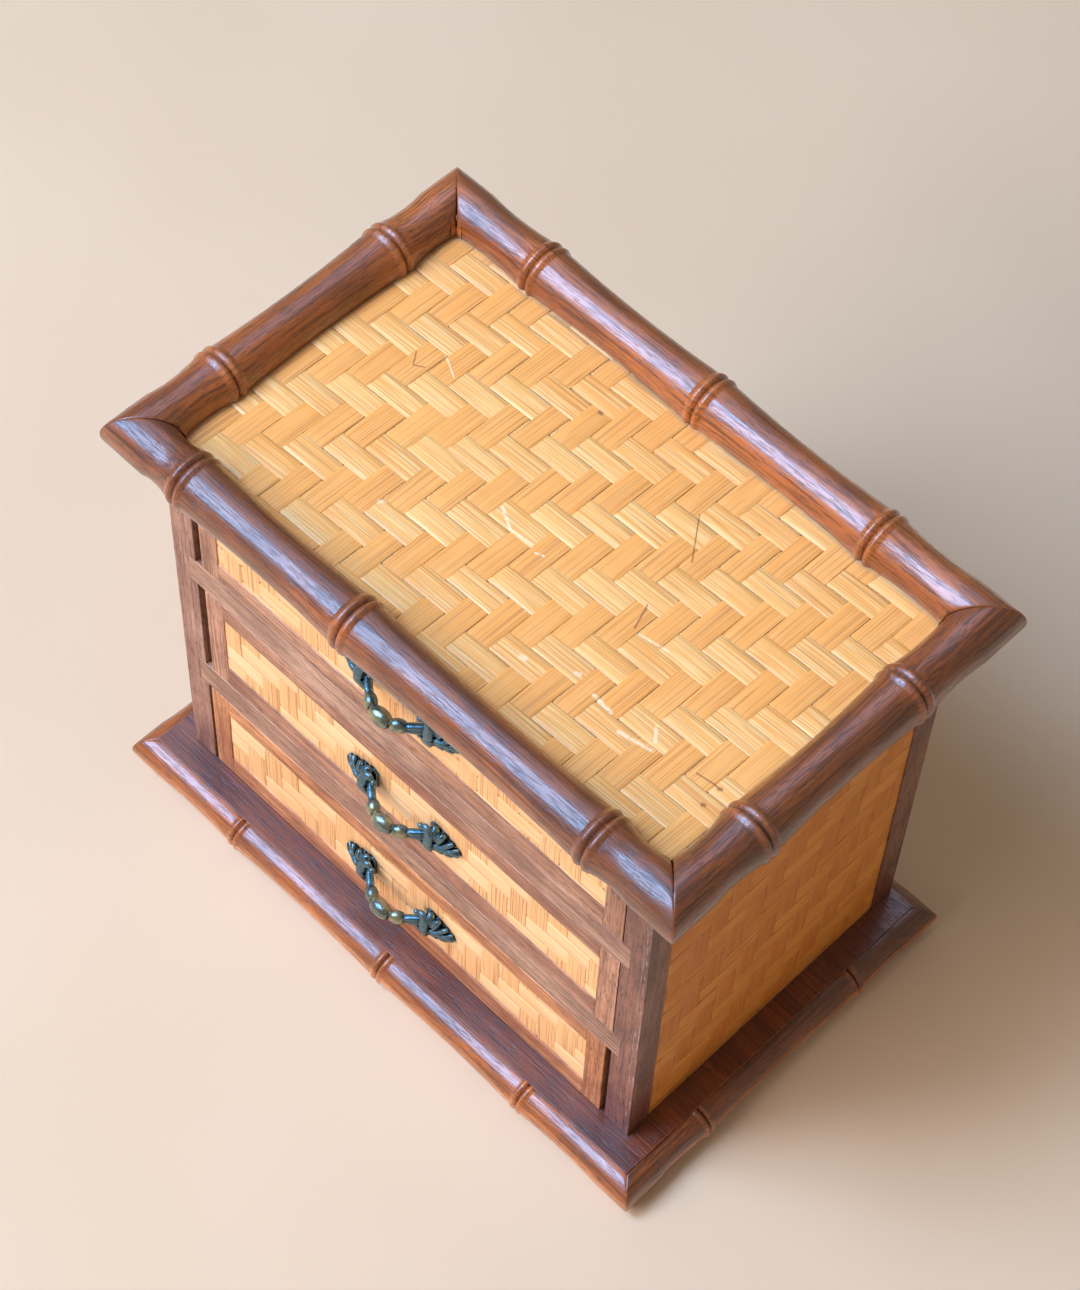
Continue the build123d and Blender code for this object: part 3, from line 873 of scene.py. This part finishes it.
def base_bars():
    """Half-round bars on the edges of the base board, flat underneath."""
    low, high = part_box("base_board")
    axis_z = high.z - BASE_BAR["ridge"]

    def limits(along_x):
        def cap(angle):
            up = math.sin(angle)
            return axis_z / -up if up < 0 else 1.0

        return cap

    angles = [math.radians(-90 + 180 * i / 44) for i in range(45)]
    bars_round("base_moulding_", high.x, low.y, high.y, axis_z, BASE_NODES, BASE_BAR, limits, angles)


class Sheet:
    """One woven sheet in its own plane: u to the right, v up, seen from outside."""

    def __init__(self, node, origin, right, up, column, row, columns_lean, rows_lean, rise, lift=0.0):
        self.node = node
        self.rise = rise
        low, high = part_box(node)
        self.origin = Vector(origin)
        self.right = Vector(right)
        self.up = Vector(up)
        self.out = self.right.cross(self.up)
        ends = zip(low, high)
        corners = [Vector(corner) for corner in itertools.product(*ends)]
        flat = [((c - self.origin).dot(self.right), (c - self.origin).dot(self.up)) for c in corners]
        self.u0, self.u1 = min(p[0] for p in flat), max(p[0] for p in flat)
        self.v0, self.v1 = min(p[1] for p in flat), max(p[1] for p in flat)
        heights = [(c - self.origin).dot(self.out) for c in corners]
        self.surface = max(heights) + lift
        self.depth = self.surface - min(heights)
        self.column = column
        self.row = row
        self.columns_lean = columns_lean
        self.rows_lean = rows_lean
        self.random = random.Random(seed_of(node))

    def column_at(self, k, v):
        return self.column + PITCH * k + self.columns_lean * v

    def row_at(self, j, u):
        return self.row - PITCH * j + self.rows_lean * u

    def level_on_top(self, k, j):
        return (k + j) % 4 in (0, 1)

    def strip(self, form, layers, upright, index, first, last):
        """One bamboo strip, over and under its neighbours."""
        draw = self.random
        width = PITCH - draw.uniform(0.12, 0.5) * MM
        if draw.random() < 0.14:
            width -= draw.uniform(0.4, 1.0) * MM
        shift = draw.uniform(-0.12, 0.12) * MM
        drift = draw.uniform(0, 40)
        fibres = [draw.uniform(-0.035, 0.02) * MM for _ in range(STRIP_FIBRES)]
        fibres[0] = fibres[-1] = -0.12 * MM
        tone = draw.random()
        number = draw.uniform(0, 90)
        steps = (0.0, 0.12, 0.3, 0.5, 0.7, 0.88)
        rings = []
        for cell in range(first, last + 1):
            for step in steps:
                t = cell + step
                if upright:
                    v = self.row - PITCH * t
                    u = self.column_at(index + 0.5, v)
                    v += self.rows_lean * u
                    along = -v
                else:
                    u = self.column + PITCH * t
                    v = self.row_at(index + 0.5, u)
                    u += self.columns_lean * v
                    along = u
                wave = noise.noise(Vector((along * 22, drift, 0.5))) * 0.25 * MM + shift
                height = self.height(upright, index, cell, step)
                ring = []
                for i in range(STRIP_FIBRES):
                    share = i / (STRIP_FIBRES - 1) - 0.5
                    if i in (1, STRIP_FIBRES - 2):
                        share = math.copysign(0.5 - 0.18 * MM / width, share)
                    ring.append((share * width, height + fibres[i] - self.rise))
                ring.append((width * 0.5, height - self.rise - STRIP_THICKNESS))
                ring.append((-width * 0.5, height - self.rise - STRIP_THICKNESS))
                made = []
                for across, lift in ring:
                    if upright:
                        place = self.point(u + wave + across, v, lift)
                    else:
                        place = self.point(u, v + wave + across, lift)
                    vert = form.verts.new(place)
                    vert[layers["strip"]] = Vector((along, across, number))
                    vert[layers["dye"]] = Vector((tone, 1.0 if upright else 0.0, 0.0))
                    made.append(vert)
                rings.append(made)
        count = len(rings[0])
        for before, after in zip(rings, rings[1:]):
            for i in range(count):
                j = (i + 1) % count
                form.faces.new((before[i], before[j], after[j], after[i]))
        form.faces.new(rings[0][::-1])
        form.faces.new(rings[-1])

    def backing(self, form, layers):
        """The thin glued layer that shows as brown between the strips."""
        verts = []
        top = -2 * self.rise - STRIP_THICKNESS - BACKING_GAP
        for lift in (-self.depth, top):
            for u, v in ((self.u0, self.v0), (self.u1, self.v0), (self.u1, self.v1), (self.u0, self.v1)):
                vert = form.verts.new(self.point(u, v, lift))
                vert[layers["strip"]] = Vector((u, v, 0))
                vert[layers["dye"]] = Vector((1, 1, 0))
                verts.append(vert)
        form.faces.new(verts[:4])
        form.faces.new(verts[4:])
        for i in range(4):
            j = (i + 1) % 4
            form.faces.new((verts[i], verts[j], verts[4 + j], verts[4 + i]))

    def point(self, u, v, lift):
        return self.origin + self.right * u + self.up * v + self.out * (self.surface + lift)

    def height(self, upright, index, cell, step):
        """Height of a strip's middle: high where it is on top, low where it passes under."""

        def raised(other):
            level = self.level_on_top(other, index) if not upright else self.level_on_top(index, other)
            return self.rise if level != upright else -self.rise

        here = raised(cell)
        reach = 0.3
        if step < reach:
            return here + (raised(cell - 1) - here) * 0.5 * (1 - step / reach)
        if step > 1 - reach:
            return here + (raised(cell + 1) - here) * 0.5 * (1 - (1 - step) / reach)
        return here

    def build(self, material):
        form = bmesh.new()
        layers = {
            "strip": form.verts.layers.float_vector.new("strip"),
            "dye": form.verts.layers.float_vector.new("dye"),
        }
        lean = max(abs(self.columns_lean), abs(self.rows_lean)) * max(self.u1 - self.u0, self.v1 - self.v0)
        spare = 1 + int(lean / PITCH + 1)
        k0 = math.floor((self.u0 - self.column) / PITCH) - spare
        k1 = math.ceil((self.u1 - self.column) / PITCH) + spare
        j0 = math.floor((self.row - self.v1) / PITCH) - spare
        j1 = math.ceil((self.row - self.v0) / PITCH) + spare
        for j in range(j0, j1):
            self.strip(form, layers, False, j, k0, k1)
        for k in range(k0, k1):
            self.strip(form, layers, True, k, j0, j1)
        cuts = (
            (self.u0, self.right, -1),
            (self.u1, self.right, 1),
            (self.v0, self.up, -1),
            (self.v1, self.up, 1),
        )
        for distance, direction, sign in cuts:
            place = self.origin + direction * distance
            cut_away(form, place, direction * sign)
        self.backing(form, layers)
        bmesh.ops.recalc_face_normals(form, faces=form.faces)
        mesh = bpy.data.meshes.new(self.node + "_strips")
        form.to_mesh(mesh)
        form.free()
        shade_smooth(mesh)
        mesh.set_sharp_from_angle(angle=math.radians(38))
        return add_piece(self.node + "_strips", mesh, self.node, material)


def woven_sheets():
    """The woven sheets of the top, the sides and the drawer faces, each at the photograph's phase."""
    low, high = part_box("top_board")
    middle = (0, (low.y + high.y) / 2, 0)
    along_x, along_y, upward = (1, 0, 0), (0, 1, 0), (0, 0, 1)
    planes = {
        "top_weave": (middle, along_x, along_y, BAMBOO_TOP, 0.0),
        "side_weave_right": (middle, along_y, upward, BAMBOO_SIDE_SHADED, 0.0),
        "side_weave_left": (middle, (0, -1, 0), upward, BAMBOO_SIDE_SHADED, 0.0),
    }
    face = ((0, 0, 0), along_x, upward, BAMBOO_FACE, FACE_LIFT)
    for node, (column, row, columns_lean, rows_lean, rise) in WEAVES.items():
        origin, right, up, material, lift = planes.get(node, face)
        phase = (column * MM, row * MM, columns_lean, rows_lean, rise * MM)
        Sheet(node, origin, right, up, *phase, lift).build(material)


def swept(form, spine, widths, heights, facing, groove=0.0, square=1.0, sides=20):
    """A closed bar of oval section along a spine. facing is the way its crown points."""
    rings = []
    last = len(spine) - 1
    for i, centre in enumerate(spine):
        tangent = (spine[min(i + 1, last)] - spine[max(i - 1, 0)]).normalized()
        side = tangent.cross(facing).normalized()
        crown = side.cross(tangent)
        ring = []
        for step in range(sides):
            angle = 2 * math.pi * step / sides
            out = math.copysign(abs(math.cos(angle)) ** square, math.cos(angle))
            up = math.copysign(abs(math.sin(angle)) ** square, math.sin(angle))
            share = 1.0
            if up > 0:
                share -= groove * math.exp(-((out / 0.32) ** 2))
            place = centre + side * (widths[i] * out) + crown * (heights[i] * up * share)
            ring.append(form.verts.new(place * MM))
        rings.append(ring)
    for before, after in zip(rings, rings[1:]):
        for i in range(sides):
            j = (i + 1) % sides
            form.faces.new((before[i], before[j], after[j], after[i]))
    form.faces.new(rings[0][::-1])
    form.faces.new(rings[-1])


def bead(form, start, end, radius, tall, neck):
    """A barrel bead between two points, pinched to a narrow neck at each end."""
    count = 22
    spine = [start.lerp(end, i / count) for i in range(count + 1)]
    swell = [math.sin(math.pi * i / count) ** 0.55 for i in range(count + 1)]
    widths = [neck + (radius - neck) * share for share in swell]
    heights = [neck + (tall - neck) * share for share in swell]
    swept(form, spine, widths, heights, Vector((0, 0, 1)), sides=28)


def curve(keys, share):
    """The row at share 0 to 1 of a smooth path through rows of numbers."""
    last = len(keys) - 1
    i = min(int(share * last), last - 1)
    t = share * last - i
    before, start, end, after = (np.array(keys[min(max(k, 0), last)]) for k in (i - 1, i, i + 1, i + 2))
    square = 2 * before - 5 * start + 4 * end - after
    cube = 3 * start - before - 3 * end + after
    return (2 * start + (end - before) * t + square * t**2 + cube * t**3) / 2


def limb(form, side, keys, groove=0.0, flip=1, square=1.0):
    """A round-ended bar through keys of place along, out and up, and its half width and half height."""
    count = 8 * (len(keys) - 1)
    spine, widths, heights = [], [], []
    for i in range(count + 1):
        along, out, up, width, height = curve(keys, i / count)
        cap = math.sqrt(max(0.03, 1 - abs(2 * i / count - 1) ** 7))
        spine.append(Vector((side * along, -out, flip * up)))
        widths.append(width * cap)
        heights.append(height * cap)
    swept(form, spine, widths, heights, Vector((0, -1, 0)), groove=groove, square=square, sides=28)


# One leaf end of a pull, in millimetres from the pull's middle. The outline is along and up, the
# other rows are along, out, up, half width and half height.
LEAF_OUTLINE = (
    (13.4, 2.0),
    (13.2, 4.6),
    (14.6, 6.0),
    (16.2, 5.8),
    (17.6, 4.4),
    (18.8, 5.4),
    (20.6, 5.2),
    (22.0, 3.4),
    (23.2, 3.9),
    (24.6, 3.3),
    (25.8, 1.8),
    (27.2, 1.2),
    (28.0, 0.3),
)
LEAF_CUFF = (
    (16.6, 5.8, -0.4, 2.2, 1.5),
    (16.4, 5.5, 2.4, 2.1, 1.4),
    (15.7, 4.7, 4.8, 1.9, 1.3),
    (14.0, 4.3, 6.0, 1.4, 1.2),
    (12.3, 4.6, 5.4, 1.0, 1.0),
)
LEAF_LOBES = (
    ((17.6, 3.2, 2.6, 2.1, 2.2), (16.8, 2.6, 4.8, 2.0, 1.9), (15.6, 1.6, 6.3, 1.2, 1.2)),
    ((18.8, 3.3, 1.5, 1.5, 1.9), (19.9, 3.0, 3.7, 1.6, 1.7), (20.8, 1.8, 5.7, 1.0, 1.1)),
    ((21.6, 2.8, 1.2, 1.1, 1.6), (23.1, 2.5, 2.8, 1.15, 1.4), (24.8, 1.4, 4.2, 0.8, 0.9)),
    ((24.4, 2.0, 0.7, 0.8, 1.2), (25.8, 1.7, 1.7, 0.8, 1.0), (27.0, 1.0, 2.3, 0.55, 0.7)),
)
LEAF_RIB = (
    (18.0, 4.3, 0.0, 1.7, 1.9),
    (20.4, 3.7, 0.0, 1.5, 2.0),
    (23.2, 2.8, 0.0, 1.2, 1.7),
    (26.0, 2.1, 0.0, 1.0, 1.2),
    (28.2, 1.1, 0.0, 0.7, 0.8),
)
STEM = (
    (8.6, 8.1, 0.0, 2.0, 1.6),
    (11.0, 6.2, 0.0, 2.3, 1.6),
    (13.8, 3.9, 0.0, 2.7, 1.6),
    (17.0, 2.6, 0.0, 3.0, 1.8),
)
PLATE_THICKNESS = 1.5
PLATE_TAPER = 0.94
CURL_END = (11.7, 4.6, 4.9)
CURL_RADIUS = 1.15
# Beads: half width, half height and neck, then where the bow's beads meet, along and out
MIDDLE_BEAD = (3.1, 3.5, 1.5)
SIDE_BEAD = (2.5, 3.0, 1.5)
BOW_NECK = (4.3, 10.9)
BOW_SHOULDER = (8.9, 7.9)
BOW_REACH = 11.2
PULL_SHIFT = 0.6 * MM
SKIN_CELL = 0.22 * MM


def leaf_plate(form, side):
    """The thin lobed plate under a leaf end."""
    outline = list(LEAF_OUTLINE)
    outline += [(along, -up) for along, up in reversed(LEAF_OUTLINE)]
    back, front = [], []
    for along, up in outline:
        back.append(form.verts.new(Vector((side * along, 0.0, up)) * MM))
    for along, up in outline:
        place = Vector((side * along, -PLATE_THICKNESS, up * PLATE_TAPER))
        front.append(form.verts.new(place * MM))
    form.faces.new(back)
    form.faces.new(front[::-1])
    for i in range(len(outline)):
        j = (i + 1) % len(outline)
        form.faces.new((back[i], back[j], front[j], front[i]))


def pull_mesh():
    """A cast bow pull in one skin: leaf ends, fluted stems and three beads.

    The middle of its back is at the origin.
    """
    form = bmesh.new()
    neck_along, neck_out = BOW_NECK
    start, end = (Vector((side * neck_along, -BOW_REACH, 0)) for side in (-1, 1))
    bead(form, start, end, *MIDDLE_BEAD)
    for side in (-1, 1):
        neck = Vector((side * neck_along, -neck_out, 0))
        shoulder = Vector((side * BOW_SHOULDER[0], -BOW_SHOULDER[1], 0))
        bead(form, neck, shoulder, *SIDE_BEAD)
        limb(form, side, STEM, groove=0.4, square=0.75)
        leaf_plate(form, side)
        limb(form, side, LEAF_RIB, groove=0.35)
        for flip in (-1, 1):
            limb(form, side, LEAF_CUFF, groove=0.12, flip=flip)
            for keys in LEAF_LOBES:
                limb(form, side, keys, groove=0.3, flip=flip)
            along, out, up = CURL_END
            ball = Matrix.Translation(Vector((side * along, -out, flip * up)) * MM)
            bmesh.ops.create_icosphere(form, subdivisions=2, radius=CURL_RADIUS * MM, matrix=ball)
    bmesh.ops.recalc_face_normals(form, faces=form.faces)
    rough = bpy.data.meshes.new("pull_rough")
    form.to_mesh(rough)
    form.free()
    holder = bpy.data.objects.new("pull_rough", rough)
    bpy.context.scene.collection.objects.link(holder)
    skin = holder.modifiers.new("skin", "REMESH")
    skin.mode = "VOXEL"
    skin.voxel_size = SKIN_CELL
    ease = holder.modifiers.new("ease", "SMOOTH")
    ease.factor = 0.5
    ease.iterations = 3
    graph = bpy.context.evaluated_depsgraph_get()
    mesh = bpy.data.meshes.new_from_object(holder.evaluated_get(graph))
    mesh.name = "pull_cast"
    bpy.data.objects.remove(holder)
    shade_smooth(mesh)
    return mesh


def pulls():
    """The same casting on each drawer, its back cut flat on the woven sheet."""
    cast = pull_mesh()
    form = bmesh.new()
    form.from_mesh(cast)
    cut_away(form, (0, 0, 0), (0, 1, 0))
    form.to_mesh(cast)
    form.free()
    for drawer in ("top", "middle", "bottom"):
        node = "drawer_" + drawer + "_pull"
        low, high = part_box(node)
        mesh = cast.copy()
        middle = (low + high) / 2
        mesh.transform(Matrix.Translation((middle.x - PULL_SHIFT, high.y, middle.z)))
        add_piece(node + "_cast", mesh, node, BRONZE)


def wooden_pieces():
    """Everything that keeps its CAD form, with eased edges."""
    replaced = ("weave", "moulding", "pull", "screws")
    for node in sorted(frame["nodes"]):
        if any(word in node for word in replaced):
            continue
        rounded_piece(node, EDGE_EASE, OWN_MATERIALS.get(node))


def place_camera():
    camera = bpy.data.cameras.new("camera")
    camera.sensor_fit = "HORIZONTAL"
    camera.sensor_width = CAMERA_SENSOR
    camera.lens = CAMERA_LENS
    holder = bpy.data.objects.new("camera", camera)
    holder.location = CAMERA_PLACE
    holder.rotation_euler = [math.radians(turn) for turn in CAMERA_TURN]
    bpy.context.scene.collection.objects.link(holder)
    bpy.context.scene.camera = holder


def soft_light(name, place, size, power, colour):
    """A soft panel that faces the middle of the chest."""
    lamp = bpy.data.lights.new(name, "AREA")
    lamp.shape = "RECTANGLE"
    lamp.size, lamp.size_y = size
    lamp.energy = power
    lamp.color = colour
    holder = bpy.data.objects.new(name, lamp)
    holder.location = place
    aim = Vector(LIGHT_AIM) - Vector(place)
    holder.rotation_euler = aim.to_track_quat("-Z", "Y").to_euler()
    bpy.context.scene.collection.objects.link(holder)
    return holder


def studio():
    """A plain pale floor, two soft windows, two panels for reflections alone and an even surround."""
    form = bmesh.new()
    bmesh.ops.create_grid(form, x_segments=1, y_segments=1, size=FLOOR_HALF)
    mesh = bpy.data.meshes.new("floor")
    form.to_mesh(mesh)
    form.free()
    floor = bpy.data.objects.new("floor", mesh)
    floor.location.z = -FLOOR_DROP
    mesh.materials.append(floor_material())
    bpy.context.scene.collection.objects.link(floor)
    world = bpy.data.worlds.new("surround")
    bpy.context.scene.world = world
    world.use_nodes = True
    background = world.node_tree.nodes["Background"]
    background.inputs[0].default_value = SURROUND_COLOUR
    background.inputs[1].default_value = SURROUND_STRENGTH
    for name, place, size, power, colour, unseen_by in LIGHTS:
        panel = soft_light(name, place, size, power, colour)
        setattr(panel, unseen_by, False)


wooden_pieces()
top_bars()
base_bars()
woven_sheets()
pulls()
for node in frame["nodes"]:
    if node.endswith("screws"):
        material_slots = frame["nodes"][node].data.materials
        material_slots.clear()
        material_slots.append(STEEL)
place_camera()
studio()

bpy.context.scene.view_settings.view_transform = "Standard"
